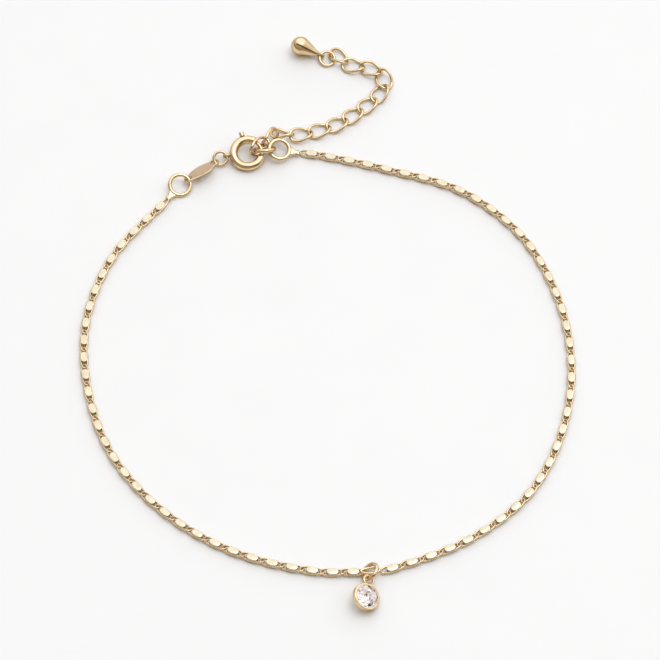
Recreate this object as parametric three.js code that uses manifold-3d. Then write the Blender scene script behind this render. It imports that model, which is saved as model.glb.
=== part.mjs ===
// Charm anklet with a spring ring clasp, lying closed on a flat surface.
// Units are millimetres, +Z is up and the surface is z = 0.
import * as THREE from 'three';
import { mergeVertices } from 'three/addons/utils/BufferGeometryUtils.js';
import Module from 'manifold-3d';

const wasm = await Module();
wasm.setup();

const DEG = Math.PI / 180;

// Middle of the lay, which becomes the origin
const layMiddle = { x: -0.43, y: 2.5 };

// Mirror chain, a run on each side of the pendant
const chainWidth = 1.3;
const chainThickness = 0.9;
const chainPitch = 2.97;
const chainEndGap = 0.15;

// Route of the chain's middle line, chosen by hand, from the right end ring round to the pendant
const rightRoute = [
  [-2.7, 31.05], [8.95, 28.2], [20.1, 24.3], [28.95, 16.5], [34.15, 5.85], [35.95, -5.8],
  [34.25, -17.4], [29.1, -27.75], [20.05, -35.35], [9.15, -39.9],
];

// and from the pendant round to the left end ring
const leftRoute = [
  [-2.45, -40.35], [-14.05, -37.2], [-24.25, -30.75], [-31.95, -21.55], [-35.95, -10.4],
  [-36.55, 1.45], [-32.95, 12.55],
];

// Plain link of the chain that the pendant's ring goes round
const pendantLink = { x: 5.8, y: -40.45, z: 0.75, heading: 4, length: 2.95, width: 1.14, wire: 0.3 };

// Extender chain of curb links
const linkLength = 3.85;
const linkWidth = 2.7;
const linkWire = 0.4;
const linkTwist = 0.31;

// Place of each extender link, from the clasp outwards: middle, then heading about Z,
// pitch about the link's own Y and roll about its own X, in degrees
const extenderPlaces = [
  { x: -10.9, y: 31.85, z: 1.5, heading: 42, pitch: 2, roll: 48 },
  { x: -9.3, y: 33.65, z: 1.35, heading: 50, pitch: 10, roll: 78 },
  { x: -7.4, y: 34.5, z: 0.95, heading: -6, pitch: -3, roll: -33 },
  { x: -4.5, y: 34.6, z: 0.63, heading: 13, pitch: 3, roll: -3 },
  { x: -1.65, y: 35.4, z: 0.53, heading: 19.5, pitch: -1, roll: -2 },
  { x: 1.1, y: 36.55, z: 0.52, heading: 29, pitch: -1, roll: -2 },
  { x: 3.55, y: 38.2, z: 0.52, heading: 37, pitch: -1, roll: -2 },
  { x: 5.82, y: 40.1, z: 0.53, heading: 42, pitch: -1, roll: -2 },
  { x: 7.76, y: 42.26, z: 0.58, heading: 58, pitch: -3, roll: -8 },
  { x: 8.43, y: 44.88, z: 0.65, heading: 108.5, pitch: -8, roll: -7 },
  { x: 6.44, y: 46.84, z: 0.57, heading: 156.5, pitch: -1.5, roll: 1.5 },
  { x: 3.6, y: 47.53, z: 0.52, heading: 170, pitch: 1, roll: 1.5 },
  { x: 1.35, y: 49.2, z: 0.56, heading: 130, pitch: 7, roll: 12 },
];

// Rings of the two chain ends, each cast with a neck that holds the last chain link
const endRingOuter = 3.7;
const endRingWire = 0.5;
const neckThickness = 0.5;
const neckWidth = 0.95;
const leftEnd = { x: -23, y: 25.2, z: 0.85, heading: 8.5, pitch: 5.5, roll: 21 };
const rightEnd = { x: -7.8, y: 31.45, z: 1.22, heading: 0, pitch: 11, roll: 9.5 };
const rightEndWire = 0.56;

// Blank name tag, a marquise plate with an eye at each tip
const tagLength = 6;
const tagWidth = 2.95;
const tagThickness = 0.26;
const tagBevel = 0.07;
const tagEyeSpacing = 4.84;
const tagEyeHole = 1.1;
const tagEyeRim = 0.26;
const tagPlace = { x: -19.75, y: 27.78, z: 0.86, heading: 39, pitch: 2.5, roll: -31.5 };

// Jump rings: outer diameter, wire and place
const tagRing = { outer: 2.44, wire: 0.4, x: -16.89, y: 30.01, z: 0.93, heading: 13, pitch: -2.5, roll: 25 };
const hookRing = { outer: 3.56, wire: 0.6, x: -10.08, y: 31.32, z: 1.4, heading: 2.5, pitch: -3, roll: -48 };
const dropRing = { outer: 2.72, wire: 0.4, x: -0.46, y: 48.89, z: 0.49, heading: 19, pitch: -1, roll: 14 };
const pendantRing = { outer: 2.92, wire: 0.42, x: 5.75, y: -40.74, z: 1.1, heading: -7, pitch: -40, roll: -7 };

// Spring ring clasp: a bored tube ring with a gate, closed by a spring bolt with a knob
const claspOuter = 5.7;
const claspTube = 1.32;
const claspBore = 0.84;
const claspPlace = { x: -12.7, y: 30.8, z: 1.16, heading: 0, pitch: 0, roll: 13 };
const gateFrom = -18;
const gateTo = 62;
const boltWire = 0.6;
const boltTip = -27;
const boltTail = 122;
const boltTravel = 60;
const knobAngle = 107;
const knobDiameter = 0.5;
const knobHeadDiameter = 0.78;
const knobReach = 0.75;
const slotClearance = 0.1;
const lugAngle = 188;
const lugOuter = 1.32;
const lugWire = 0.36;

// Teardrop that ends the extender
const dropDiameter = 3;
const dropLength = 4.5;
const dropNeck = 0.72;
const dropEyeletOuter = 1.4;
const dropEyeletWire = 0.4;
const dropPlace = { x: -1.5, y: 49.38, z: 0.7, heading: 159, pitch: -14, roll: -1 };

// Pendant: a bezel cup with its eyelet, and a round brilliant stone
const stoneDiameter = 3.6;
const stonePavilion = 0.35 * stoneDiameter;
const stoneClearance = 0.04;
const culetClearance = 0.07;
const girdleDepth = 0.2;
const bezelWall = 0.25;
const bezelOuter = stoneDiameter + 2 * bezelWall;
const bezelWallHeight = 0.7;
const bezelFloor = 0.12;
const bezelBackHeight = girdleDepth + stonePavilion + culetClearance + bezelFloor - bezelWallHeight;
const bezelBackFlat = 0.75;
const bezelLip = 0.06;
const bezelEyeletOuter = 1.86;
const bezelEyeletWire = 0.38;
const bezelEyeletDepth = 0.45;
const bezelEyeletPlace = { x: 5.53127, y: -42.22762, z: 1.29925, heading: -9.5, pitch: 29, roll: -3 };

const colours = {
  gold: { color: 0xe2bd83, roughness: 0.18, metalness: 1 },
  satin: { color: 0xd8b886, roughness: 0.5, metalness: 1 },
  stone: { color: 0xf2eeee, roughness: 0.02, metalness: 0 },
};

function material(look) {
  return new THREE.MeshStandardMaterial(look);
}

// Placing

function rotationOf(place) {
  const euler = new THREE.Euler(
    (place.roll ?? 0) * DEG,
    (place.pitch ?? 0) * DEG,
    (place.heading ?? 0) * DEG,
    'ZYX',
  );
  return new THREE.Quaternion().setFromEuler(euler);
}

function pointAt(place, local) {
  return local.clone().applyQuaternion(rotationOf(place)).add(new THREE.Vector3(place.x, place.y, place.z));
}

function piece(name, geometry, look, place = null) {
  const mesh = new THREE.Mesh(geometry, material(look));
  mesh.name = name;
  if (place) {
    mesh.position.set(place.x, place.y, place.z);
    mesh.quaternion.copy(rotationOf(place));
  }
  return mesh;
}

// Joining and cutting closed meshes

function toSolid(geometry) {
  const bare = geometry.clone();
  bare.deleteAttribute('normal');
  bare.deleteAttribute('uv');
  const merged = mergeVertices(bare, 1e-4);
  return new wasm.Manifold(new wasm.Mesh({
    numProp: 3,
    vertProperties: new Float32Array(merged.attributes.position.array),
    triVerts: new Uint32Array(merged.index.array),
  }));
}

function toGeometry(solid) {
  const mesh = solid.getMesh();
  const geometry = new THREE.BufferGeometry();
  geometry.setAttribute('position', new THREE.BufferAttribute(mesh.vertProperties, 3));
  geometry.setIndex(new THREE.BufferAttribute(mesh.triVerts, 1));
  return geometry;
}

function joined(first, ...others) {
  return toGeometry(others.reduce((sum, other) => sum.add(toSolid(other)), toSolid(first)));
}

function cut(base, ...tools) {
  return toGeometry(tools.reduce((rest, tool) => rest.subtract(toSolid(tool)), toSolid(base)));
}

// Shapes shared by several pieces

function ringGeometry(outer, wire, segments = 28, sides = 8) {
  return new THREE.TorusGeometry((outer - wire) / 2, wire / 2, sides, segments);
}

// Middle line of a curb link: an oval whose two sides rise and fall in turn
class CurbLine extends THREE.Curve {
  constructor(length, width, twist) {
    super();
    this.halfLength = length / 2;
    this.halfWidth = width / 2;
    this.twist = twist;
  }

  getPoint(t, target = new THREE.Vector3()) {
    const angle = 2 * Math.PI * t;
    return target.set(
      this.halfLength * Math.cos(angle),
      this.halfWidth * Math.sin(angle),
      -this.twist * Math.sin(2 * angle),
    );
  }
}

function curbGeometry(length, width, wire, twist, segments = 24, sides = 8) {
  const line = new CurbLine(length - wire, width - wire, twist);
  return new THREE.TubeGeometry(line, segments, wire / 2, sides, true);
}

// A bar that tapers from one point to another, flattened in Z
function taperedBar(from, to, widthFrom, widthTo, thickness) {
  const along = to.clone().sub(from);
  const bar = new THREE.CylinderGeometry(widthTo / 2, widthFrom / 2, along.length(), 10);
  const side = new THREE.Vector3().crossVectors(along, new THREE.Vector3(0, 0, 1)).normalize();
  const up = new THREE.Vector3().crossVectors(side, along).normalize();
  const frame = new THREE.Matrix4().makeBasis(
    side,
    along.clone().normalize(),
    up.multiplyScalar(-2 * thickness / (widthFrom + widthTo)),
  );
  frame.setPosition(from.clone().add(to).multiplyScalar(0.5));
  bar.applyMatrix4(frame);
  if (frame.determinant() < 0) reverseFaces(bar);
  return bar;
}

function reverseFaces(geometry) {
  const index = geometry.index.array;
  for (let i = 0; i < index.length; i += 3) {
    [index[i + 1], index[i + 2]] = [index[i + 2], index[i + 1]];
  }
}

// Chain ends: a ring and the neck that reaches from its wire to the chain's end

function chainEndGeometry(place, wire, chainEnd) {
  const ring = ringGeometry(endRingOuter, wire);
  const local = chainEnd.clone().sub(new THREE.Vector3(place.x, place.y, place.z));
  local.applyQuaternion(rotationOf(place).invert());
  const towards = new THREE.Vector3(local.x, local.y, 0).normalize();
  const root = towards.clone().multiplyScalar((endRingOuter - wire) / 2);
  const neck = taperedBar(root, local, neckWidth * 1.25, neckWidth, neckThickness);
  return joined(ring, neck);
}

function endRingPiece(name, place, wire, chainEnd) {
  return piece(name, chainEndGeometry(place, wire, chainEnd), colours.gold, place);
}

// Where a chain run starts: beyond the neck of its end ring, lying on the surface
function beyondRing(place, towards, distance) {
  const way = new THREE.Vector2(towards[0] - place.x, towards[1] - place.y).normalize();
  return new THREE.Vector3(place.x + way.x * distance, place.y + way.y * distance, chainThickness / 2);
}

const neckReach = endRingOuter / 2 + 0.85;
const rightNeckEnd = beyondRing(rightEnd, rightRoute[0], neckReach);
const leftNeckEnd = beyondRing(leftEnd, leftRoute[leftRoute.length - 1], neckReach);

// Chain runs

function chainSection() {
  const corner = 0.26;
  const half = { x: chainThickness / 2, y: chainWidth / 2 };
  const section = new THREE.Shape();
  section.moveTo(half.x, -half.y + corner);
  section.lineTo(half.x, half.y - corner);
  section.lineTo(half.x - corner, half.y);
  section.lineTo(-half.x + corner, half.y);
  section.lineTo(-half.x, half.y - corner);
  section.lineTo(-half.x, -half.y + corner);
  section.lineTo(-half.x + corner, -half.y);
  section.lineTo(half.x - corner, -half.y);
  section.closePath();
  return section;
}

function chainRun(name, points) {
  const middle = points.map(([x, y]) => new THREE.Vector3(x, y, chainThickness / 2));
  const route = new THREE.CatmullRomCurve3(middle, false, 'centripetal');
  const steps = Math.round(route.getLength() / chainPitch);
  const geometry = new THREE.ExtrudeGeometry(chainSection(), { steps, extrudePath: route });
  return piece(name, geometry, colours.gold);
}

// The chain's end at the pendant: one gap beyond the plain link's tip
function besidePendant(side) {
  const reach = side * (pendantLink.length / 2 + chainEndGap);
  const end = pointAt(pendantLink, new THREE.Vector3(reach, 0, 0));
  return [end.x, end.y];
}

function beyondNeck(neckEnd, place) {
  const way = new THREE.Vector2(neckEnd.x - place.x, neckEnd.y - place.y).normalize();
  return [neckEnd.x + way.x * chainEndGap, neckEnd.y + way.y * chainEndGap];
}

function chainRuns() {
  const right = [beyondNeck(rightNeckEnd, rightEnd), ...rightRoute, besidePendant(1)];
  const left = [besidePendant(-1), ...leftRoute, beyondNeck(leftNeckEnd, leftEnd)];
  return [chainRun('chain_right', right), chainRun('chain_left', left)];
}

// Tag

function tagGeometry() {
  const half = { x: tagLength / 2, y: tagWidth / 2 };
  const bow = (half.x ** 2 + half.y ** 2) / (2 * half.y);
  const sweep = Math.asin(half.x / bow);
  const outline = new THREE.Shape();
  outline.absarc(0, half.y - bow, bow, Math.PI / 2 - sweep, Math.PI / 2 + sweep, false);
  outline.absarc(0, bow - half.y, bow, 1.5 * Math.PI - sweep, 1.5 * Math.PI + sweep, false);
  const bevel = {
    depth: tagThickness - 2 * tagBevel,
    bevelThickness: tagBevel,
    bevelSize: tagBevel,
    bevelOffset: -tagBevel,
    bevelSegments: 1,
    curveSegments: 16,
  };
  const plate = new THREE.ExtrudeGeometry(outline, bevel);
  plate.translate(0, 0, -bevel.depth / 2);
  const eyes = [];
  const holes = [];
  for (const side of [-1, 1]) {
    const eye = new THREE.CylinderGeometry(tagEyeHole / 2 + tagEyeRim, tagEyeHole / 2 + tagEyeRim, tagThickness, 24);
    const hole = new THREE.CylinderGeometry(tagEyeHole / 2, tagEyeHole / 2, 2 * tagThickness, 24);
    for (const round of [eye, hole]) {
      round.rotateX(Math.PI / 2);
      round.translate(side * tagEyeSpacing / 2, 0, 0);
    }
    eyes.push(eye);
    holes.push(hole);
  }
  return cut(joined(plate, ...eyes), ...holes);
}

// Clasp

const claspRadius = (claspOuter - claspTube) / 2;

// A slice of the space round the clasp's axis, between two angles
function angleSlice(from, to, inner, outer, height) {
  const shape = new THREE.Shape();
  shape.absarc(0, 0, outer, from * DEG, to * DEG, false);
  shape.absarc(0, 0, inner, to * DEG, from * DEG, true);
  const slice = new THREE.ExtrudeGeometry(shape, { depth: height, bevelEnabled: false, curveSegments: 10 });
  slice.translate(0, 0, -height / 2);
  return slice;
}

function claspBodyGeometry() {
  const outside = new THREE.TorusGeometry(claspRadius, claspTube / 2, 12, 48);
  const bore = new THREE.TorusGeometry(claspRadius, claspBore / 2, 8, 48);
  const gate = angleSlice(gateFrom, gateTo, 0.5, claspOuter, 2 * claspTube);
  const slotHalf = (knobDiameter / 2 + slotClearance) / (claspOuter / 2) / DEG;
  const slot = angleSlice(
    knobAngle - slotHalf,
    knobAngle + boltTravel + slotHalf,
    claspRadius,
    claspOuter,
    knobDiameter + 2 * slotClearance,
  );
  const lug = ringGeometry(lugOuter, lugWire, 16);
  lug.rotateX(Math.PI / 2);
  lug.translate(claspOuter / 2 + lugOuter / 2 - lugWire * 0.7, 0, 0);
  lug.rotateZ(lugAngle * DEG);
  const body = joined(outside, lug);
  return cut(body, bore, gate, slot);
}

function boltGeometry() {
  const steps = 30;
  const wire = arcTube(claspRadius, boltWire / 2, boltTip, boltTail, steps);
  const stem = new THREE.CylinderGeometry(knobDiameter / 2, knobDiameter / 2, claspTube / 2 + knobReach, 12);
  stem.rotateZ(-Math.PI / 2);
  stem.translate(claspRadius + (claspTube / 2 + knobReach) / 2, 0, 0);
  const head = new THREE.CylinderGeometry(knobHeadDiameter / 2, knobHeadDiameter / 2, knobReach * 0.6, 14);
  head.rotateZ(-Math.PI / 2);
  head.translate(claspOuter / 2 + knobReach * 0.7, 0, 0);
  for (const round of [stem, head]) round.rotateZ(knobAngle * DEG);
  return joined(wire, stem, head);
}

// Part of a ring as a closed tube between two angles
function arcTube(radius, half, from, to, steps) {
  const line = new THREE.CatmullRomCurve3(
    Array.from({ length: steps + 1 }, (_, i) => {
      const angle = (from + (to - from) * i / steps) * DEG;
      return new THREE.Vector3(radius * Math.cos(angle), radius * Math.sin(angle), 0);
    }),
  );
  const section = new THREE.Shape();
  section.absarc(0, 0, half, 0, 2 * Math.PI, false);
  return new THREE.ExtrudeGeometry(section, { steps, curveSegments: 8, extrudePath: line });
}

// Teardrop: its eyelet at the origin, its body along +X

function dropGeometry() {
  const eyelet = ringGeometry(dropEyeletOuter, dropEyeletWire, 16);
  eyelet.rotateX(Math.PI / 2);
  const start = dropEyeletOuter / 2 - dropEyeletWire * 0.7;
  const end = start + dropLength;
  const belly = dropDiameter / 2;
  const centre = end - belly;
  const slope = Math.asin((belly - dropNeck / 2) / (centre - start));
  const profile = [new THREE.Vector2(0, start), new THREE.Vector2(dropNeck / 2, start)];
  const roundSteps = 10;
  for (let i = 0; i <= roundSteps; i += 1) {
    const angle = -slope + (Math.PI / 2 + slope) * i / roundSteps;
    profile.push(new THREE.Vector2(belly * Math.cos(angle), centre + belly * Math.sin(angle)));
  }
  profile[profile.length - 1].x = 0;
  const body = new THREE.LatheGeometry(profile, 24);
  body.rotateZ(-Math.PI / 2);
  return joined(body, eyelet);
}

// Pendant: the face looks along +Z and the eyelet lies along +Y

const girdle = stoneDiameter / 2;
const bezelEyeletReach = bezelOuter / 2 + bezelEyeletOuter / 2 - bezelEyeletWire / 2;

function bezelGeometry() {
  const outer = bezelOuter / 2;
  const inner = girdle + stoneClearance;
  const lip = girdle - bezelLip;
  const bottom = -bezelWallHeight - bezelBackHeight;
  const profile = [
    [0, bottom],
    [bezelBackFlat, bottom],
    [outer, -bezelWallHeight],
    [outer, -0.1],
    [outer - 0.12, 0],
    [lip, 0],
    [lip, -0.03],
    [inner, -0.09],
    [inner, -girdleDepth - 0.12],
    [0, bottom + bezelFloor],
  ].map(([x, y]) => new THREE.Vector2(x, y));
  const cup = new THREE.LatheGeometry(profile, 40);
  cup.rotateX(Math.PI / 2);
  const eyelet = ringGeometry(bezelEyeletOuter, bezelEyeletWire, 20);
  eyelet.translate(0, bezelEyeletReach, -bezelEyeletDepth);
  return joined(cup, eyelet);
}

// Round brilliant: eight mains, with the girdle's middle at z = 0
function stoneGeometry() {
  const sides = 8;
  const table = { r: girdle * 0.56, z: girdle * 0.3 };
  const rim = { r: girdle, z: girdle * 0.03 };
  const culet = -stonePavilion;
  const half = Math.PI / sides;
  const starReach = girdle * 0.8;
  const lowerReach = girdle * 0.28;
  const onMain = (reach, from, to) => from.z + (to.z - from.z) * (reach - from.r) / (to.r - from.r);
  const corner = (r, turns, z) => new THREE.Vector3(r * Math.cos(turns * half), r * Math.sin(turns * half), z);
  const starZ = onMain(starReach * Math.cos(half), table, rim);
  const lowerZ = onMain(lowerReach * Math.cos(half), { r: 0, z: culet }, { r: rim.r, z: -rim.z });
  const corners = [];
  const face = (...ring) => {
    for (let i = 1; i + 1 < ring.length; i += 1) corners.push(ring[0], ring[i], ring[i + 1]);
  };
  const tip = new THREE.Vector3(0, 0, culet);
  face(...Array.from({ length: sides }, (_, k) => corner(table.r, 2 * k, table.z)));
  for (let k = 0; k < sides; k += 1) {
    const main = 2 * k;
    const top = corner(table.r, main, table.z);
    const nextTop = corner(table.r, main + 2, table.z);
    const star = corner(starReach, main + 1, starZ);
    const starBefore = corner(starReach, main - 1, starZ);
    const edge = corner(rim.r, main, rim.z);
    const edgeNext = corner(rim.r, main + 1, rim.z);
    const edgeAfter = corner(rim.r, main + 2, rim.z);
    face(top, star, nextTop);
    face(top, starBefore, edge, star);
    face(star, edge, edgeNext);
    face(star, edgeNext, edgeAfter);
    const low = corner(rim.r, main, -rim.z);
    const lowNext = corner(rim.r, main + 1, -rim.z);
    const lowAfter = corner(rim.r, main + 2, -rim.z);
    face(edge, low, lowNext, edgeNext);
    face(edgeNext, lowNext, lowAfter, edgeAfter);
    const pavilion = corner(lowerReach, main + 1, lowerZ);
    const pavilionBefore = corner(lowerReach, main - 1, lowerZ);
    face(low, pavilion, lowNext);
    face(lowNext, pavilion, lowAfter);
    face(low, pavilionBefore, tip, pavilion);
  }
  const geometry = new THREE.BufferGeometry().setFromPoints(corners);
  geometry.computeVertexNormals();
  return geometry;
}

// Assembly

const anklet = new THREE.Group();
const lay = new THREE.Group();
lay.position.set(-layMiddle.x, -layMiddle.y, 0);
anklet.add(lay);

lay.add(...chainRuns());
lay.add(piece(
  'pendant_link',
  curbGeometry(pendantLink.length, pendantLink.width, pendantLink.wire, 0),
  colours.gold,
  pendantLink,
));

lay.add(endRingPiece('left_end_ring', leftEnd, endRingWire, leftNeckEnd));
lay.add(endRingPiece('right_end_ring', rightEnd, rightEndWire, rightNeckEnd));
lay.add(piece('tag', tagGeometry(), colours.satin, tagPlace));

const jumpRings = { tag_ring: tagRing, hook_ring: hookRing, drop_ring: dropRing, pendant_ring: pendantRing };
for (const [name, ring] of Object.entries(jumpRings)) {
  lay.add(piece(name, ringGeometry(ring.outer, ring.wire), colours.gold, ring));
}

lay.add(piece('clasp_body', claspBodyGeometry(), colours.gold, claspPlace));
lay.add(piece('clasp_bolt', boltGeometry(), colours.gold, claspPlace));

extenderPlaces.forEach((place, i) => {
  const name = `extender_link_${String(i + 1).padStart(2, '0')}`;
  lay.add(piece(name, curbGeometry(linkLength, linkWidth, linkWire, linkTwist), colours.gold, place));
});

lay.add(piece('teardrop', dropGeometry(), colours.gold, dropPlace));

// The pendant hangs from its eyelet's middle, and the stone sits in the bezel's face
const faceMiddle = new THREE.Vector3(0, -bezelEyeletReach, bezelEyeletDepth);
const stoneMiddle = faceMiddle.clone().setZ(bezelEyeletDepth - girdleDepth);
const onPendant = (local) => {
  const { x, y, z } = pointAt(bezelEyeletPlace, local);
  return { ...bezelEyeletPlace, x, y, z };
};
lay.add(piece('bezel', bezelGeometry(), colours.gold, onPendant(faceMiddle)));
lay.add(piece('stone', stoneGeometry(), colours.stone, onPendant(stoneMiddle)));

export default anklet;
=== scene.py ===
"""Looks of the charm anklet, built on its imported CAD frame."""
import math

import bmesh
import bpy
import numpy as np
from mathutils import Euler, Matrix, Vector

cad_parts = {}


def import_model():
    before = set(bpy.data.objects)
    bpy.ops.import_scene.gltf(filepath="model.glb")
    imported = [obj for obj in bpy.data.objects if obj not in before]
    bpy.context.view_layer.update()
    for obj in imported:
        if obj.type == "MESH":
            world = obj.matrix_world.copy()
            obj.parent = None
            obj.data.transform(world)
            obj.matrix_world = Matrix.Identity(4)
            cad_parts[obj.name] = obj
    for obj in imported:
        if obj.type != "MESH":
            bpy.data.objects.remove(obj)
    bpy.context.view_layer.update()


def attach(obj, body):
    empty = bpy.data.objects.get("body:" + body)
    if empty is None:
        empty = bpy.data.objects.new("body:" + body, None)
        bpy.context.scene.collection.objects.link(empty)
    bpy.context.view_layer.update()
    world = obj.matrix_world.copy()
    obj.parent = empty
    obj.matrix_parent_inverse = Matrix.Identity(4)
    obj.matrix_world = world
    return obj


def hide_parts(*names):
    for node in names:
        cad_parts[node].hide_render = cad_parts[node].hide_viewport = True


MM = 0.001

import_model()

# Middle of the lay, as in the part's source, in millimetres
LAY_MIDDLE = Vector((-0.43, 2.5, 0))

# Mirror chain: its thickness, the gap at its ends, and the middle of its two runs
CHAIN_THICKNESS = 0.9
CHAIN_END_GAP = 0.15
RIGHT_ROUTE = [
    (-2.7, 31.05), (8.95, 28.2), (20.1, 24.3), (28.95, 16.5), (34.15, 5.85), (35.95, -5.8),
    (34.25, -17.4), (29.1, -27.75), (20.05, -35.35), (9.15, -39.9),
]
LEFT_ROUTE = [
    (-2.45, -40.35), (-14.05, -37.2), (-24.25, -30.75), (-31.95, -21.55), (-35.95, -10.4),
    (-36.55, 1.45), (-32.95, 12.55),
]

# Places: x, y, z in millimetres, then heading, pitch and roll in degrees
EXTENDER = [
    (-10.9, 31.85, 1.5, 42, 2, 48),
    (-9.3, 33.65, 1.35, 50, 10, 78),
    (-7.4, 34.5, 0.95, -6, -3, -33),
    (-4.5, 34.6, 0.63, 13, 3, -3),
    (-1.65, 35.4, 0.53, 19.5, -1, -2),
    (1.1, 36.55, 0.52, 29, -1, -2),
    (3.55, 38.2, 0.52, 37, -1, -2),
    (5.82, 40.1, 0.53, 42, -1, -2),
    (7.76, 42.26, 0.58, 58, -3, -8),
    (8.43, 44.88, 0.65, 108.5, -8, -7),
    (6.44, 46.84, 0.57, 156.5, -1.5, 1.5),
    (3.6, 47.53, 0.52, 170, 1, 1.5),
    (1.35, 49.2, 0.56, 130, 7, 12),
]
PENDANT_LINK = (5.8, -40.45, 0.75, 4, 0, 0)
LEFT_END = (-23, 25.2, 0.85, 8.5, 5.5, 21)
RIGHT_END = (-7.8, 31.45, 1.22, 0, 11, 9.5)
TAG = (-19.75, 27.78, 0.86, 39, 2.5, -31.5)
TAG_RING = (-16.89, 30.01, 0.93, 13, -2.5, 25)
HOOK_RING = (-10.08, 31.32, 1.4, 2.5, -3, -48)
DROP_RING = (-0.46, 48.89, 0.49, 19, -1, 14)
PENDANT_RING = (5.75, -40.74, 1.1, -7, -40, -7)
CLASP = (-12.7, 30.8, 1.16, 0, 0, 13)
DROP = (-1.5, 49.38, 0.7, 159, -14, -1)
BEZEL = (5.36, -45, 1.82, -9.5, 29, -3)


# Placing and making pieces

def place_matrix(place):
    x, y, z, heading, pitch, roll = place
    turn = Euler([math.radians(a) for a in (roll, pitch, heading)], "XYZ")
    return Matrix.Translation(Vector((x, y, z)) - LAY_MIDDLE) @ turn.to_matrix().to_4x4()


def new_object(name, verts, faces, smooth=True):
    """A mesh object whose faces all look outwards."""
    mesh = bpy.data.meshes.new(name)
    mesh.from_pydata([tuple(v) for v in verts], [], faces)
    bm = bmesh.new()
    bm.from_mesh(mesh)
    bmesh.ops.recalc_face_normals(bm, faces=bm.faces)
    bm.to_mesh(mesh)
    bm.free()
    piece = bpy.data.objects.new(name, mesh)
    bpy.context.collection.objects.link(piece)
    for polygon in mesh.polygons:
        polygon.use_smooth = smooth
    return piece


def finish_piece(piece, matrix, material, body, slot, *nodes):
    """Moves a piece made in millimetres to its place in metres and ties it to the frame."""
    piece.data.transform(Matrix.Scale(MM, 4) @ matrix)
    # Undersides rest on the surface
    for vertex in piece.data.vertices:
        vertex.co.z = max(vertex.co.z, 0.0)
    piece.data.materials.clear()
    piece.data.materials.append(material)
    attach(piece, body)
    if nodes:
        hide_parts(*nodes)
    return piece


def shares(count):
    """Even steps from 0 to 1."""
    return [i / (count - 1) for i in range(count)]


def ring_faces(rings, sides, closed=True):
    faces = []
    last = rings if closed else rings - 1
    for i in range(last):
        j = (i + 1) % rings
        for k in range(sides):
            m = (k + 1) % sides
            faces.append((i * sides + k, i * sides + m, j * sides + m, j * sides + k))
    return faces


def tube(points, radius, sides=20, closed=True, up=Vector((0, 0, 1)), flat=1.0):
    """Vertices and faces of a round wire along points; radius may be one value or one for each point."""
    count = len(points)
    radii = [float(r) for r in radius] if hasattr(radius, "__len__") else [radius] * count
    verts = []
    for i, point in enumerate(points):
        before = points[i - 1] if closed or i else points[0]
        after = points[(i + 1) % count] if closed or i + 1 < count else points[-1]
        along = (after - before).normalized()
        side = up.cross(along).normalized()
        top = along.cross(side)
        for k in range(sides):
            angle = 2 * math.pi * k / sides
            verts.append(point + radii[i] * (math.cos(angle) * side + flat * math.sin(angle) * top))
    faces = ring_faces(count, sides, closed)
    if not closed:
        faces.append(tuple(reversed(range(sides))))
        faces.append(tuple(range((count - 1) * sides, count * sides)))
    return verts, faces


def circle_points(radius, count=96, start=0.0, end=360.0, closed=True):
    steps = count if closed else count - 1
    angles = [math.radians(start + (end - start) * i / steps) for i in range(count)]
    return [Vector((radius * math.cos(a), radius * math.sin(a), 0)) for a in angles]


def curb_points(length, width, wire, twist, count=96):
    """The middle of a curb link's wire; its ends lean out of the flat by the twist."""
    half_length, half_width = (length - wire) / 2, (width - wire) / 2
    angles = [2 * math.pi * i / count for i in range(count)]
    return [
        Vector((half_length * math.cos(a), half_width * math.sin(a), -twist * math.sin(2 * a)))
        for a in angles
    ]


def lathe(profile, sides=72):
    """A round solid about Z from (radius, z) pairs that start and end on the axis."""
    inner = profile[1:-1]
    verts = [Vector((0, 0, profile[0][1]))]
    for radius, z in inner:
        for k in range(sides):
            angle = 2 * math.pi * k / sides
            verts.append(Vector((radius * math.cos(angle), radius * math.sin(angle), z)))
    verts.append(Vector((0, 0, profile[-1][1])))
    faces = [tuple(1 + i for i in face) for face in ring_faces(len(inner), sides, closed=False)]
    last = len(verts) - 1
    for k in range(sides):
        m = (k + 1) % sides
        faces.append((0, 1 + m, 1 + k))
        faces.append((last, last - sides + k, last - sides + m))
    return verts, faces


def rounded(profile, radius, steps=4):
    """The profile with each inner corner replaced by a short arc."""
    points = [Vector(p) for p in profile]
    result = [points[0]]
    for before, corner, after in zip(points, points[1:], points[2:]):
        reach = min(radius, (before - corner).length / 2.2, (after - corner).length / 2.2)
        start = corner + (before - corner).normalized() * reach
        end = corner + (after - corner).normalized() * reach
        for i in range(steps + 1):
            t = i / steps
            result.append(start * (1 - t) ** 2 + corner * 2 * t * (1 - t) + end * t ** 2)
    result.append(points[-1])
    return [(p.x, p.y) for p in result]


def moved(shape, matrix):
    verts, faces = shape
    return [matrix @ v for v in verts], faces


def merged(*shapes):
    verts, faces = [], []
    for more_verts, more_faces in shapes:
        offset = len(verts)
        verts += list(more_verts)
        faces += [tuple(i + offset for i in face) for face in more_faces]
    return verts, faces


def soldered(name, shapes, voxel=0.05, smoothing=6):
    """One solid of several shapes, its inner corners filled as solder fills them."""
    piece = new_object(name, *merged(*shapes))
    remesh = piece.modifiers.new("solder", "REMESH")
    remesh.mode = "VOXEL"
    remesh.voxel_size = voxel
    remesh.use_smooth_shade = True
    smooth = piece.modifiers.new("fillet", "SMOOTH")
    smooth.iterations = smoothing
    smooth.factor = 0.5
    bpy.context.view_layer.update()
    evaluated = piece.evaluated_get(bpy.context.evaluated_depsgraph_get())
    mesh = bpy.data.meshes.new_from_object(evaluated)
    piece.modifiers.clear()
    piece.data = mesh
    for polygon in mesh.polygons:
        polygon.use_smooth = True
    return piece


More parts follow.
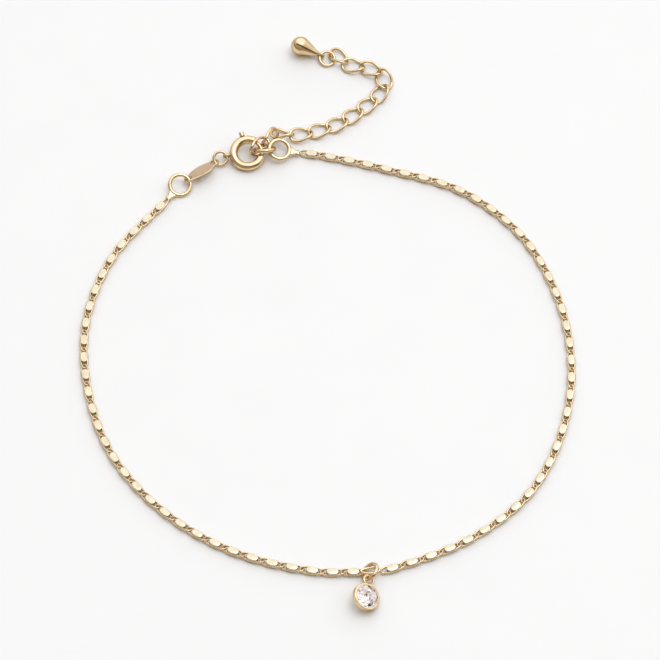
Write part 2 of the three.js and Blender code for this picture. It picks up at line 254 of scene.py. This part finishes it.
def welded(mesh, distance=0.001):
    """The mesh without its slivers, so that it stays one closed skin."""
    bm = bmesh.new()
    bm.from_mesh(mesh)
    bmesh.ops.remove_doubles(bm, verts=bm.verts, dist=distance)
    bmesh.ops.dissolve_degenerate(bm, dist=distance, edges=bm.edges)
    bmesh.ops.triangulate(bm, faces=bm.faces)
    bm.to_mesh(mesh)
    bm.free()
    return mesh


def boolean(piece, shape, operation):
    """Joins a shape to a piece or cuts it out of the piece."""
    other = new_object("tool", *shape)
    cut = piece.modifiers.new("cut", "BOOLEAN")
    cut.operation = operation
    cut.solver = "EXACT"
    cut.object = other
    bpy.context.view_layer.update()
    evaluated = piece.evaluated_get(bpy.context.evaluated_depsgraph_get())
    mesh = bpy.data.meshes.new_from_object(evaluated)
    piece.modifiers.clear()
    piece.data = welded(mesh)
    bpy.data.objects.remove(other)
    return piece


# Materials

class Nodes:
    """A short way to build a material's node tree."""

    def __init__(self, name):
        self.material = bpy.data.materials.new(name)
        self.material.use_nodes = True
        self.tree = self.material.node_tree
        self.shader = self.tree.nodes["Principled BSDF"]

    def add(self, kind, **values):
        node = self.tree.nodes.new(kind)
        for key, value in values.items():
            if hasattr(node, key):
                setattr(node, key, value)
            else:
                node.inputs[key].default_value = value
        return node

    def join(self, output, target):
        self.tree.links.new(output, target)

    def ramp(self, source, stops):
        ramp = self.add("ShaderNodeValToRGB")
        while len(ramp.color_ramp.elements) < len(stops):
            ramp.color_ramp.elements.new(0.5)
        for element, (position, colour) in zip(ramp.color_ramp.elements, stops):
            element.position = position
            element.color = (*colour, 1)
        self.join(source, ramp.inputs["Fac"])
        return ramp.outputs["Color"]

    def span(self, source, low, high):
        span = self.add("ShaderNodeMapRange")
        span.inputs["To Min"].default_value = low
        span.inputs["To Max"].default_value = high
        self.join(source, span.inputs["Value"])
        return span.outputs["Result"]


GOLD_LIGHT = (0.83, 0.67, 0.44)
GOLD_DEEP = (0.7, 0.53, 0.32)


def gold_material(name, roughness, grain, bump, scratch=None, tones=(GOLD_DEEP, GOLD_LIGHT)):
    """Pale yellow gold: soft tone changes, fine polishing marks and a slightly uneven skin."""
    nodes = Nodes(name)
    place = nodes.add("ShaderNodeTexCoord")
    tone = nodes.add("ShaderNodeTexNoise", Scale=900.0, Detail=3.0, Roughness=0.55)
    nodes.join(place.outputs["Object"], tone.inputs["Vector"])
    colour = nodes.ramp(tone.outputs["Fac"], [(0.3, tones[0]), (0.7, tones[1])])
    nodes.join(colour, nodes.shader.inputs["Base Color"])
    nodes.shader.inputs["Metallic"].default_value = 1.0
    # Brown edge tint: darker, browner reflections at grazing angles, partly the metal's own edge tint and
    # partly painted shade on the sides of the wires
    nodes.shader.inputs["Specular Tint"].default_value = (0.55, 0.38, 0.2, 1)
    polish = nodes.add("ShaderNodeTexNoise", Scale=grain, Detail=4.0, Roughness=0.6)
    if scratch:
        rotation, scale = scratch
        mapping = nodes.add("ShaderNodeMapping")
        mapping.inputs["Rotation"].default_value = rotation
        mapping.inputs["Scale"].default_value = scale
        nodes.join(place.outputs["Object"], mapping.inputs["Vector"])
        nodes.join(mapping.outputs["Vector"], polish.inputs["Vector"])
    else:
        nodes.join(place.outputs["Object"], polish.inputs["Vector"])
    nodes.join(nodes.span(polish.outputs["Fac"], *roughness), nodes.shader.inputs["Roughness"])
    strength, distance = bump
    relief = nodes.add("ShaderNodeBump", Strength=strength, Distance=distance)
    nodes.join(polish.outputs["Fac"], relief.inputs["Height"])
    nodes.join(relief.outputs["Normal"], nodes.shader.inputs["Normal"])
    return nodes.material


def stone_material():
    """Clear cut stone with a faint warm cast and a few veils inside."""
    nodes = Nodes("cut_stone")
    place = nodes.add("ShaderNodeTexCoord")
    veil = nodes.add("ShaderNodeTexNoise", Scale=1400.0, Detail=2.0)
    nodes.join(place.outputs["Object"], veil.inputs["Vector"])
    nodes.join(
        nodes.ramp(veil.outputs["Fac"], [(0.35, (0.97, 0.95, 0.95)), (0.7, (1.0, 1.0, 1.0))]),
        nodes.shader.inputs["Base Color"],
    )
    nodes.join(nodes.span(veil.outputs["Fac"], 0.0, 0.02), nodes.shader.inputs["Roughness"])
    nodes.shader.inputs["Transmission Weight"].default_value = 1.0
    nodes.shader.inputs["IOR"].default_value = 1.9
    return nodes.material


def painted_glints_facet_material():
    """The facets below the girdle: small leaning cells with painted glints, bright, pinkish and dark, and a
    weak painted glow of the same colours.
    """
    nodes = Nodes("back_facets_painted_glints")
    place = nodes.add("ShaderNodeTexCoord")
    cells = nodes.add("ShaderNodeTexVoronoi", Scale=3300.0)
    nodes.join(place.outputs["Object"], cells.inputs["Vector"])
    split = nodes.add("ShaderNodeSeparateColor")
    nodes.join(cells.outputs["Color"], split.inputs["Color"])
    # Painted glints: bright, pinkish and dark cells stand in for the light and dark reflections of the facets
    tones = nodes.ramp(split.outputs["Red"], [
        (0.13, (0.03, 0.015, 0.02)), (0.17, (0.5, 0.36, 0.36)),
        (0.34, (0.86, 0.76, 0.75)), (0.5, (1.0, 0.97, 0.97)),
    ])
    nodes.join(tones, nodes.shader.inputs["Base Color"])
    # The painted glint colours also glow: painted light, though the stone is no lamp
    nodes.join(tones, nodes.shader.inputs["Emission Color"])
    nodes.shader.inputs["Metallic"].default_value = 0.85
    nodes.shader.inputs["Emission Strength"].default_value = 0.3
    nodes.join(nodes.span(split.outputs["Green"], 0.0, 0.08), nodes.shader.inputs["Roughness"])
    surface = nodes.add("ShaderNodeNewGeometry")
    centred = nodes.add("ShaderNodeVectorMath", operation="SUBTRACT")
    centred.inputs[1].default_value = (0.5, 0.5, 0.5)
    nodes.join(cells.outputs["Color"], centred.inputs[0])
    lean = nodes.add("ShaderNodeVectorMath", operation="MULTIPLY_ADD")
    lean.inputs[1].default_value = (0.32, 0.32, 0.32)
    nodes.join(centred.outputs["Vector"], lean.inputs[0])
    nodes.join(surface.outputs["Normal"], lean.inputs[2])
    nodes.join(lean.outputs["Vector"], nodes.shader.inputs["Normal"])
    return nodes.material


GOLD = gold_material("polished_gold", (0.07, 0.17), 9000.0, (0.12, 0.00002))
# The plates' gold is a paler, less yellow copy of the gold: a painted highlight for the cream shine of the
# polished plates
MIRROR_PAINTED_HIGHLIGHT = gold_material(
    "mirror_gold_painted_highlight", (0.1, 0.22), 7000.0, (0.25, 0.00003), tones=((0.62, 0.54, 0.39), (0.72, 0.65, 0.5)),
)
SATIN = gold_material(
    "satin_gold", (0.38, 0.52), 9000.0, (0.5, 0.00002),
    scratch=((0, 0, math.radians(-39)), (0.12, 1.0, 1.0)), tones=((0.62, 0.48, 0.34), (0.7, 0.56, 0.41)),
)
STONE = stone_material()
FACET_GLINTS = painted_glints_facet_material()


# Mirror chain: long curb links, each with its middle pressed into a flat polished plate

# A link's half length and half width, its wire's radius and height over width, and how far its ends lean
LINK_REACH = 1.76
LINK_SIDE = 0.5
LINK_RADIUS = 0.14
LINK_HEIGHT = 1.5
LINK_TWIST = 0.1
LINK_SQUARENESS = 2.3

# A plate's outline, and its edge from the bottom up: inset from the outline, height
PLATE_LENGTH = 1.74
PLATE_WIDTH = 1.06
PLATE_SQUARENESS = 2.35
PLATE_LEVELS = [
    (0.1, 0.12), (0.0, 0.3), (0.0, 0.78), (0.015, 0.84), (0.05, 0.87), (0.1, 0.88),
]

# How many links each run has, and how far its first and last plates' middles are from its ends
RIGHT_LINKS, RIGHT_FIRST, RIGHT_LAST = 37, 2.1, 1.65
LEFT_LINKS, LEFT_FIRST, LEFT_LAST = 31, 0.85, 1.9

# A link points along the route as it runs this far either side of its middle
HEADING_REACH = 0.7


def superellipse(half_length, half_width, power, count):
    """Points of an oval that is squarer the higher the power is."""
    points = []
    for i in range(count):
        angle = 2 * math.pi * i / count
        c, s = math.cos(angle), math.sin(angle)
        x = half_length * math.copysign(abs(c) ** (2 / power), c)
        y = half_width * math.copysign(abs(s) ** (2 / power), s)
        points.append((x, y))
    return points


def plate_shape():
    sides = 36
    verts = []
    for inset, height in PLATE_LEVELS:
        ring = superellipse(PLATE_LENGTH / 2 - inset, PLATE_WIDTH / 2 - inset, PLATE_SQUARENESS, sides)
        verts += [Vector((x, y, height)) for x, y in ring]
    faces = ring_faces(len(PLATE_LEVELS), sides, closed=False)
    faces.append(tuple(reversed(range(sides))))
    faces.append(tuple(range(len(verts) - sides, len(verts))))
    return verts, faces


def link_shape():
    count = 60
    points = []
    for i, (x, y) in enumerate(superellipse(LINK_REACH, LINK_SIDE, LINK_SQUARENESS, count)):
        angle = 2 * math.pi * i / count
        points.append(Vector((x, y, CHAIN_THICKNESS / 2 - LINK_TWIST * math.sin(2 * angle))))
    return tube(points, LINK_RADIUS, sides=14, flat=LINK_HEIGHT)


def spline_points(points, steps=40):
    """A centripetal Catmull-Rom curve through the points, as the part's route has."""
    points = [np.array(p, float) for p in points]
    result = []
    for i in range(len(points) - 1):
        p1, p2 = points[i], points[i + 1]
        p0 = points[i - 1] if i else 2 * p1 - p2
        p3 = points[i + 2] if i + 2 < len(points) else 2 * p2 - p1
        d0, d1, d2 = (np.linalg.norm(b - a) ** 0.5 for a, b in ((p0, p1), (p1, p2), (p2, p3)))
        t1 = ((p1 - p0) / d0 - (p2 - p0) / (d0 + d1) + (p2 - p1) / d1) * d1
        t2 = ((p2 - p1) / d1 - (p3 - p1) / (d1 + d2) + (p3 - p2) / d2) * d1
        for t in np.arange(steps) / steps:
            square, cube = 3 * (p2 - p1) - 2 * t1 - t2, 2 * (p1 - p2) + t1 + t2
            result.append(p1 + t1 * t + square * t ** 2 + cube * t ** 3)
    result.append(points[-1])
    return np.array(result)


def chain_run(name, points, count, first, last):
    """Links along the route, all one mesh; the plates have a paler, less yellow copy of the gold of their
    own, a painted highlight for their cream shine.
    """
    route = spline_points(points)
    lengths = np.r_[0, np.cumsum(np.linalg.norm(np.diff(route, axis=0), axis=1))]
    total = lengths[-1]
    pitch = (total - first - last) / (count - 1)
    plate = plate_shape()
    plate_faces = len(plate[1])
    module = merged(plate, link_shape())
    shapes = []

    def point_at(s):
        s = min(max(s, 0), total)
        return np.array([np.interp(s, lengths, route[:, k]) for k in (0, 1)])

    for i in range(count):
        s = first + i * pitch
        here = point_at(s)
        ahead = point_at(s + HEADING_REACH) - point_at(s - HEADING_REACH)
        heading = math.atan2(ahead[1], ahead[0])
        where = Matrix.Translation(Vector((here[0], here[1], 0))) @ Matrix.Rotation(heading, 4, "Z")
        shapes.append(moved(module, where))
    piece = new_object(name + "_links", *merged(*shapes))
    piece.data.set_sharp_from_angle(angle=math.radians(60))
    finish_piece(piece, Matrix.Translation(-LAY_MIDDLE), GOLD, "anklet", "gold", name)
    # The plates get the paler gold, a painted highlight
    piece.data.materials.append(MIRROR_PAINTED_HIGHLIGHT)
    for polygon in piece.data.polygons:
        if polygon.index % len(module[1]) < plate_faces:
            polygon.material_index = 1


def beyond(place, towards, distance):
    """The point that far from a place, on the way to another."""
    way = (Vector(towards[:2]) - Vector(place[:2])).normalized()
    return Vector(place[:2]) + way * distance


# The end rings' outside size, and how far their necks reach from their middles
END_OUTER = 3.7
NECK_REACH = END_OUTER / 2 + 0.85
PLAIN_LINK_LENGTH = 2.95
right_neck = beyond(RIGHT_END, RIGHT_ROUTE[0], NECK_REACH)
left_neck = beyond(LEFT_END, LEFT_ROUTE[-1], NECK_REACH)


def beside_pendant(side):
    """Where a run ends at the pendant: one gap beyond the plain link's tip."""
    reach = side * (PLAIN_LINK_LENGTH / 2 + CHAIN_END_GAP)
    end = place_matrix(PENDANT_LINK) @ Vector((reach, 0, 0)) + LAY_MIDDLE
    return (end.x, end.y)


right_start = beyond(RIGHT_END, RIGHT_ROUTE[0], NECK_REACH + CHAIN_END_GAP)
left_start = beyond(LEFT_END, LEFT_ROUTE[-1], NECK_REACH + CHAIN_END_GAP)
right_points = [tuple(right_start), *RIGHT_ROUTE, beside_pendant(1)]
left_points = [beside_pendant(-1), *LEFT_ROUTE, tuple(left_start)]
chain_run("chain_right", right_points, RIGHT_LINKS, RIGHT_FIRST, RIGHT_LAST)
chain_run("chain_left", left_points, LEFT_LINKS, LEFT_FIRST, LEFT_LAST)


# Plain wire pieces, a plating thicker all round than the bare wire

PLATING = 0.028
THIN_WIRE = 0.4
PLAIN_LINK_WIDTH, PLAIN_LINK_WIRE = 1.14, 0.3
CURB_LENGTH, CURB_WIDTH, CURB_TWIST = 3.85, 2.7, 0.31


def wire_piece(name, points, wire, place, sides=20):
    piece = new_object(name + "_wire", *tube(points, wire / 2 + PLATING, sides))
    finish_piece(piece, place_matrix(place), GOLD, "anklet", "gold", name)


def jump_ring(name, outer, wire, place):
    wire_piece(name, circle_points((outer - wire) / 2), wire, place)


plain_link = curb_points(PLAIN_LINK_LENGTH, PLAIN_LINK_WIDTH, PLAIN_LINK_WIRE, 0)
wire_piece("pendant_link", plain_link, PLAIN_LINK_WIRE, PENDANT_LINK)
jump_ring("tag_ring", 2.44, THIN_WIRE, TAG_RING)
jump_ring("hook_ring", 3.56, 0.6, HOOK_RING)
jump_ring("drop_ring", 2.72, THIN_WIRE, DROP_RING)
jump_ring("pendant_ring", 2.98, 0.48, PENDANT_RING)
for number, place in enumerate(EXTENDER, 1):
    curb_link = curb_points(CURB_LENGTH, CURB_WIDTH, THIN_WIRE, CURB_TWIST)
    wire_piece(f"extender_link_{number:02d}", curb_link, THIN_WIRE, place)


# Rings of the chain ends, each cast in one with the neck that holds the chain

# How far the neck goes into the chain's last link, and the radius that smoothing takes off the ring
NECK_OVERLAP = 0.28
SMOOTHING_LOSS = 0.05


def bent(points, count):
    """A smooth curve from the first point to the last one, drawn to the middle one."""
    start, middle, end = points
    return [start * (1 - t) ** 2 + middle * 2 * t * (1 - t) + end * t ** 2 for t in shares(count)]


def end_ring(name, place, wire, neck_end):
    matrix = place_matrix(place)
    reach = (neck_end - Vector(place[:2])).normalized() * NECK_OVERLAP
    tip = Vector((neck_end.x + reach.x, neck_end.y + reach.y, CHAIN_THICKNESS / 2)) - LAY_MIDDLE
    local = matrix.inverted() @ tip
    towards = Vector((local.x, local.y, 0)).normalized()
    radius = (END_OUTER - wire) / 2
    angle = math.atan2(towards.y, towards.x)
    ring = tube(circle_points(radius), wire / 2 + SMOOTHING_LOSS)
    shoulders = []
    for side in (-1, 1):
        start = angle + side * 0.5
        points = [
            Vector((radius * math.cos(start), radius * math.sin(start), 0)),
            towards * (radius + 0.35) + towards.cross(Vector((0, 0, side))) * -0.22,
            local,
        ]
        shoulders.append(tube(bent(points, 12), np.linspace(0.24, 0.3, 12), 12, closed=False))
    neck_points = [
        towards * (radius + 0.2 * t) + (local - towards * (radius + 0.2)) * t
        for t in shares(10)
    ]
    neck = tube(neck_points, np.linspace(0.36, 0.5, 10), 16, closed=False, flat=0.62)
    piece = soldered(name + "_cast", [ring, neck, *shoulders], voxel=0.045, smoothing=5)
    finish_piece(piece, matrix, GOLD, "anklet", "gold", name)


end_ring("left_end_ring", LEFT_END, 0.5, left_neck)
end_ring("right_end_ring", RIGHT_END, 0.56, right_neck)


# Blank tag with a bright bevel round its satin face

def tag_piece():
    half_length, half_width, thickness, bevel = 3.0, 1.475, 0.26, 0.12
    eye_reach, hole, rim = 2.42, 0.55, 0.3
    bow = (half_length ** 2 + half_width ** 2) / (2 * half_width)
    count = 48

    def outline(inset):
        top = []
        reach = half_length - inset * 1.6
        for i in range(count + 1):
            x = -reach + 2 * reach * i / count
            top.append((x, max(math.sqrt(bow ** 2 - x * x) - bow + half_width - inset, 0.0)))
        return top + [(x, -y) for x, y in reversed(top[1:-1])]

    half = thickness / 2
    levels = [(bevel, -half), (0.0, -half + 0.05), (0.0, half - 0.05), (bevel, half)]
    verts = []
    for inset, z in levels:
        verts += [Vector((x, y, z)) for x, y in outline(inset)]
    sides = 2 * count
    faces = [tuple(reversed(f)) for f in ring_faces(len(levels), sides, closed=False)]
    faces.append(tuple(range(sides)))
    faces.append(tuple(reversed(range(len(verts) - sides, len(verts)))))
    plate = new_object("tag_plate", verts, faces, smooth=False)
    eye = rounded([(0, -half), (hole + rim, -half), (hole + rim, half), (0, half)], 0.09, steps=3)
    drill = [(0, -1), (hole, -1), (hole, 1), (0, 1)]
    for profile, operation in ((eye, "UNION"), (drill, "DIFFERENCE")):
        for side in (-1, 1):
            centre = Matrix.Translation(Vector((side * eye_reach, 0, 0)))
            boolean(plate, moved(lathe(profile, 48), centre), operation)
    finish_piece(plate, place_matrix(TAG), SATIN, "anklet", "satin_gold", "tag")
    plate.data.materials.append(GOLD)
    face_up = place_matrix(TAG).to_3x3() @ Vector((0, 0, 1))
    for polygon in plate.data.polygons:
        polygon.material_index = 0 if abs(polygon.normal.dot(face_up)) > 0.98 else 1
        polygon.use_smooth = False


tag_piece()


# Spring ring clasp

CLASP_OUTER, CLASP_TUBE = 5.7, 1.32
CLASP_RADIUS = (CLASP_OUTER - CLASP_TUBE) / 2

# Angles round the clasp: its open gate, the knob, the bolt's travel, the slot's margin and the lug
GATE_FROM, GATE_TO = -18.0, 62.0
KNOB_ANGLE = 107
BOLT_TRAVEL = 60
SLOT_MARGIN = 7.5
LUG_ANGLE = 188


def clasp_arc(radius, count, start, end):
    return circle_points(radius, count, start, end, closed=False)


def clasp_pieces():
    bore = 0.42
    sides, steps = 32, 150
    arc = clasp_arc(CLASP_RADIUS, steps, GATE_TO, GATE_FROM + 360)
    outer = tube(arc, CLASP_TUBE / 2, sides, closed=False)
    longer_arc = clasp_arc(CLASP_RADIUS, steps, GATE_TO - 3, GATE_FROM + 363)
    inner = tube(longer_arc, bore, sides, closed=False)
    body = new_object("clasp_tube", *outer)
    boolean(body, inner, "DIFFERENCE")
    slot_from, slot_to = KNOB_ANGLE - SLOT_MARGIN, KNOB_ANGLE + BOLT_TRAVEL + SLOT_MARGIN
    slot_points = clasp_arc(CLASP_RADIUS + 0.6, 24, slot_from, slot_to)
    boolean(body, tube(slot_points, 0.35, 16, closed=False), "DIFFERENCE")
    for polygon in body.data.polygons:
        polygon.use_smooth = True
    body.data.set_sharp_from_angle(angle=math.radians(50))
    finish_piece(body, place_matrix(CLASP), GOLD, "anklet", "gold", "clasp_body")
    lug_turn = Matrix.Rotation(math.radians(LUG_ANGLE), 4, "Z")
    upright = Matrix.Rotation(math.radians(90), 4, "X")
    lug_reach = CLASP_OUTER / 2 + 0.408
    lug_place = lug_turn @ Matrix.Translation(Vector((lug_reach, 0, 0))) @ upright
    lug = moved(tube(circle_points(0.48, 48), 0.18, 16), lug_place)
    foot_points = [Vector((x, 0, 0)) for x in (2.6, 2.8, 2.95)]
    foot = moved(tube(foot_points, [0.34, 0.27, 0.2], 16, closed=False), lug_turn)
    piece = soldered("clasp_lug", [lug, foot], voxel=0.035, smoothing=3)
    finish_piece(piece, place_matrix(CLASP), GOLD, "anklet", "gold")
    wire = tube(clasp_arc(CLASP_RADIUS, 90, -27, 122), 0.3, 24, closed=False)
    bolt = new_object("clasp_bolt_wire", *wire)
    finish_piece(bolt, place_matrix(CLASP), GOLD, "bolt", "gold", "clasp_bolt")
    knob_corners = [
        (0, 2.3), (0.25, 2.3), (0.25, 2.82), (0.41, 2.86), (0.41, 3.55), (0.27, 3.6), (0.16, 3.48), (0, 3.46),
    ]
    knob = lathe(rounded(knob_corners, 0.05), 40)
    outwards = Matrix.Rotation(math.radians(90), 4, "Y")
    turn = Matrix.Rotation(math.radians(KNOB_ANGLE), 4, "Z") @ outwards
    piece = new_object("clasp_knob", *moved(knob, turn))
    finish_piece(piece, place_matrix(CLASP), GOLD, "bolt", "gold")


clasp_pieces()


# Teardrop

def drop_piece():
    """A drop whose cone, slightly hollow, runs smoothly into a round belly."""
    belly, neck, length = 1.47, 0.42, 4.5
    start = 0.42
    end = start + length
    centre = end - belly
    slope = math.asin((belly - neck) / (centre - start))
    cone_start, cone_end = start + 0.08, centre - belly * math.sin(slope)
    profile = [(0, start - 0.02), (neck * 0.8, start), (neck, cone_start)]
    for t in np.linspace(0.12, 0.95, 12):
        straight = neck + (belly * math.cos(slope) - neck) * t
        hollow = 0.03 * math.sin(math.pi * t) * (1 - t)
        profile.append((straight - hollow, cone_start + (cone_end - cone_start) * t))
    for angle in np.linspace(-slope, math.pi / 2, 26)[1:-1]:
        profile.append((belly * math.cos(angle), centre + belly * math.sin(angle)))
    profile.append((0, end))
    turn = Matrix.Rotation(math.radians(90), 4, "Y")
    body = new_object("teardrop_body", *moved(lathe(profile, 72), turn))
    finish_piece(body, place_matrix(DROP), GOLD, "anklet", "gold", "teardrop")
    upright = Matrix.Rotation(math.radians(90), 4, "X")
    eyelet = new_object("teardrop_eyelet", *moved(tube(circle_points(0.5, 56), 0.2, 18), upright))
    finish_piece(eyelet, place_matrix(DROP), GOLD, "anklet", "gold")


drop_piece()


# Pendant

# The stone's radius, the depth of its girdle's middle below the lip, and the eyelet's height on the bezel
GIRDLE = 1.8
GIRDLE_DEPTH = 0.2
EYELET_HEIGHT = -0.45


def bezel_pieces():
    outer, inner, lip = 2.05, GIRDLE + 0.04, GIRDLE - 0.06
    bottom = -1.65
    eyelet_radius, eyelet_wire = 0.74, 0.19
    profile = rounded([
        (0, bottom), (0.75, bottom), (outer, -0.7), (outer, -0.06), (outer - 0.06, 0.0), (lip, 0.02),
        (lip, -0.03), (inner, -0.09), (inner, -0.32), (0, bottom + 0.12),
    ], 0.09)
    cup = lathe(profile, 96)
    eyelet_place = Matrix.Translation(Vector((0, outer + eyelet_radius, EYELET_HEIGHT)))
    eyelet = moved(tube(circle_points(eyelet_radius, 64), eyelet_wire, 18), eyelet_place)
    piece = new_object("bezel_cup", *cup)
    finish_piece(piece, place_matrix(BEZEL), GOLD, "anklet", "gold", "bezel")
    foot_points = [Vector((0, y, EYELET_HEIGHT)) for y in (1.9, 2.05, 2.15, 2.3)]
    foot = tube(foot_points, [0.42, 0.34, 0.24, 0.18], 16, closed=False)
    piece = soldered("bezel_eyelet", [eyelet, foot], voxel=0.035, smoothing=3)
    finish_piece(piece, place_matrix(BEZEL), GOLD, "anklet", "gold")


def stone_piece():
    """Round brilliant with eight mains, its girdle's middle at z = 0."""
    sides = 8
    half = math.pi / sides
    table, rim = (GIRDLE * 0.56, GIRDLE * 0.3), (GIRDLE, GIRDLE * 0.03)
    culet = -GIRDLE * 0.7
    star_reach, lower_reach = GIRDLE * 0.8, GIRDLE * 0.28

    def on_main(reach, start, end):
        return start[1] + (end[1] - start[1]) * (reach - start[0]) / (end[0] - start[0])

    def corner(radius, turns, z):
        return (radius * math.cos(turns * half), radius * math.sin(turns * half), z)

    star_z = on_main(star_reach * math.cos(half), table, rim)
    lower_z = on_main(lower_reach * math.cos(half), (0, culet), (rim[0], -rim[1]))
    verts, faces = [], []

    def face(*ring):
        faces.append(tuple(range(len(verts), len(verts) + len(ring))))
        verts.extend(ring)

    tip = (0, 0, culet)
    face(*[corner(table[0], 2 * k, table[1]) for k in range(sides)])
    for k in range(sides):
        main = 2 * k
        top, next_top = corner(table[0], main, table[1]), corner(table[0], main + 2, table[1])
        star, star_before = corner(star_reach, main + 1, star_z), corner(star_reach, main - 1, star_z)
        edge, edge_next, edge_after = (corner(rim[0], main + i, rim[1]) for i in range(3))
        low, low_next, low_after = (corner(rim[0], main + i, -rim[1]) for i in range(3))
        lower, lower_before = corner(lower_reach, main + 1, lower_z), corner(lower_reach, main - 1, lower_z)
        face(top, star, next_top)
        face(top, star_before, edge, star)
        face(star, edge, edge_next)
        face(star, edge_next, edge_after)
        face(edge, low, low_next, edge_next)
        face(edge_next, low_next, low_after, edge_after)
        face(low, lower, low_next)
        face(low_next, lower, low_after)
        face(low, lower_before, tip, lower)
    piece = new_object("cut_stone", [Vector(v) for v in verts], faces, smooth=False)
    bm = bmesh.new()
    bm.from_mesh(piece.data)
    bmesh.ops.remove_doubles(bm, verts=bm.verts, dist=1e-4)
    bmesh.ops.recalc_face_normals(bm, faces=bm.faces)
    bm.to_mesh(piece.data)
    bm.free()
    matrix = place_matrix(BEZEL) @ Matrix.Translation(Vector((0, 0, -GIRDLE_DEPTH)))
    below = [polygon.index for polygon in piece.data.polygons if polygon.normal.z < -0.05]
    finish_piece(piece, matrix, STONE, "anklet", "stone", "stone")
    # The facets below the girdle get the painted glints and glow
    piece.data.materials.append(FACET_GLINTS)
    for index in below:
        piece.data.polygons[index].material_index = 1


bezel_pieces()
stone_piece()


# Stage: a pale table, soft light and the camera

WORLD_STRENGTH = 1.54


def stage():
    material = Nodes("pale_table")
    grain = material.add("ShaderNodeTexNoise", Scale=300.0, Detail=3.0)
    material.join(
        material.ramp(grain.outputs["Fac"], [(0.3, (0.92, 0.935, 0.955)), (0.7, (0.93, 0.945, 0.965))]),
        material.shader.inputs["Base Color"],
    )
    material.shader.inputs["Roughness"].default_value = 0.9
    size = 1.5
    corners = [(-size, -size, 0), (size, -size, 0), (size, size, 0), (-size, size, 0)]
    floor = new_object("table", corners, [(0, 1, 2, 3)])
    # Just below the undersides that rest on it
    floor.location.z = -0.00001
    floor.data.materials.append(material.material)


def area_light(name, place, aim, size, power):
    light = bpy.data.lights.new(name, "AREA")
    light.shape = "RECTANGLE"
    light.size, light.size_y = size
    light.energy = power
    lamp = bpy.data.objects.new(name, light)
    lamp.location = place
    lamp.rotation_euler = (Vector(aim) - Vector(place)).to_track_quat("-Z", "Y").to_euler()
    bpy.context.collection.objects.link(lamp)


def world():
    """A soft white studio: brightest above and behind, dim low down, with a narrow dark strip in front."""
    surroundings = bpy.data.worlds.new("studio")
    bpy.context.scene.world = surroundings
    surroundings.use_nodes = True
    tree = surroundings.node_tree
    background = tree.nodes["Background"]
    place = tree.nodes.new("ShaderNodeTexCoord")

    def towards(direction):
        dot = tree.nodes.new("ShaderNodeVectorMath")
        dot.operation = "DOT_PRODUCT"
        dot.inputs[1].default_value = Vector(direction).normalized()
        tree.links.new(place.outputs["Generated"], dot.inputs[0])
        return dot.outputs["Value"]

    def mixed(how, first, second):
        mix = tree.nodes.new("ShaderNodeMix")
        mix.data_type = "RGBA"
        mix.blend_type = how
        mix.inputs["Factor"].default_value = 1.0
        tree.links.new(first, mix.inputs[6])
        tree.links.new(second, mix.inputs[7])
        return mix.outputs[2]

    def ramp(value, stops, interpolation="EASE"):
        node = tree.nodes.new("ShaderNodeValToRGB")
        node.color_ramp.interpolation = interpolation
        while len(node.color_ramp.elements) < len(stops):
            node.color_ramp.elements.new(0.5)
        for element, (position, colour) in zip(node.color_ramp.elements, stops):
            element.position = position
            element.color = (*colour, 1)
        tree.links.new(value, node.inputs["Fac"])
        return node.outputs["Color"]

    sky = ramp(towards((0.15, 0.5, 0.85)), [
        (0.0, (0.26, 0.2, 0.13)), (0.3, (0.37, 0.32, 0.26)), (0.55, (0.6, 0.58, 0.55)),
        (0.8, (0.9, 0.91, 0.93)), (0.95, (0.92, 0.93, 0.94)), (1.0, (0.92, 0.93, 0.94)),
    ])
    across = tree.nodes.new("ShaderNodeMath")
    across.operation = "ABSOLUTE"
    tree.links.new(towards((0.422, 0.785, 0.453)), across.inputs[0])
    strip = ramp(across.outputs["Value"], [(0.1, (0.02, 0.015, 0.01)), (0.17, (1, 1, 1))], "LINEAR")
    behind = ramp(towards((0.0, -0.5, 0.866)), [(0.45, (1, 1, 1)), (0.6, (0, 0, 0))], "LINEAR")
    patch = mixed("LIGHTEN", strip, behind)
    tree.links.new(mixed("MULTIPLY", sky, patch), background.inputs["Color"])
    background.inputs["Strength"].default_value = WORLD_STRENGTH


def camera():
    """The photo's view: straight from the front, 60 degrees up, aimed at the picture's middle."""
    elevation = math.radians(60)
    distance = 0.5175
    ground = -LAY_MIDDLE * MM
    back = Vector((0, -math.cos(elevation), math.sin(elevation)))
    cam = bpy.data.cameras.new("camera")
    cam.sensor_width = 36
    cam.lens = 36 * 3450 / 660
    cam.clip_start = 0.01
    eye = bpy.data.objects.new("camera", cam)
    eye.location = ground + back * distance
    eye.rotation_euler = (-back).to_track_quat("-Z", "Y").to_euler()
    bpy.context.collection.objects.link(eye)
    bpy.context.scene.camera = eye


stage()
world()
area_light("key", (0.18, 0.1, 0.6), (0, 0, 0), (0.3, 0.3), 0.55)
camera()

scene = bpy.context.scene
scene.view_settings.view_transform = "Standard"
scene.view_settings.look = "None"
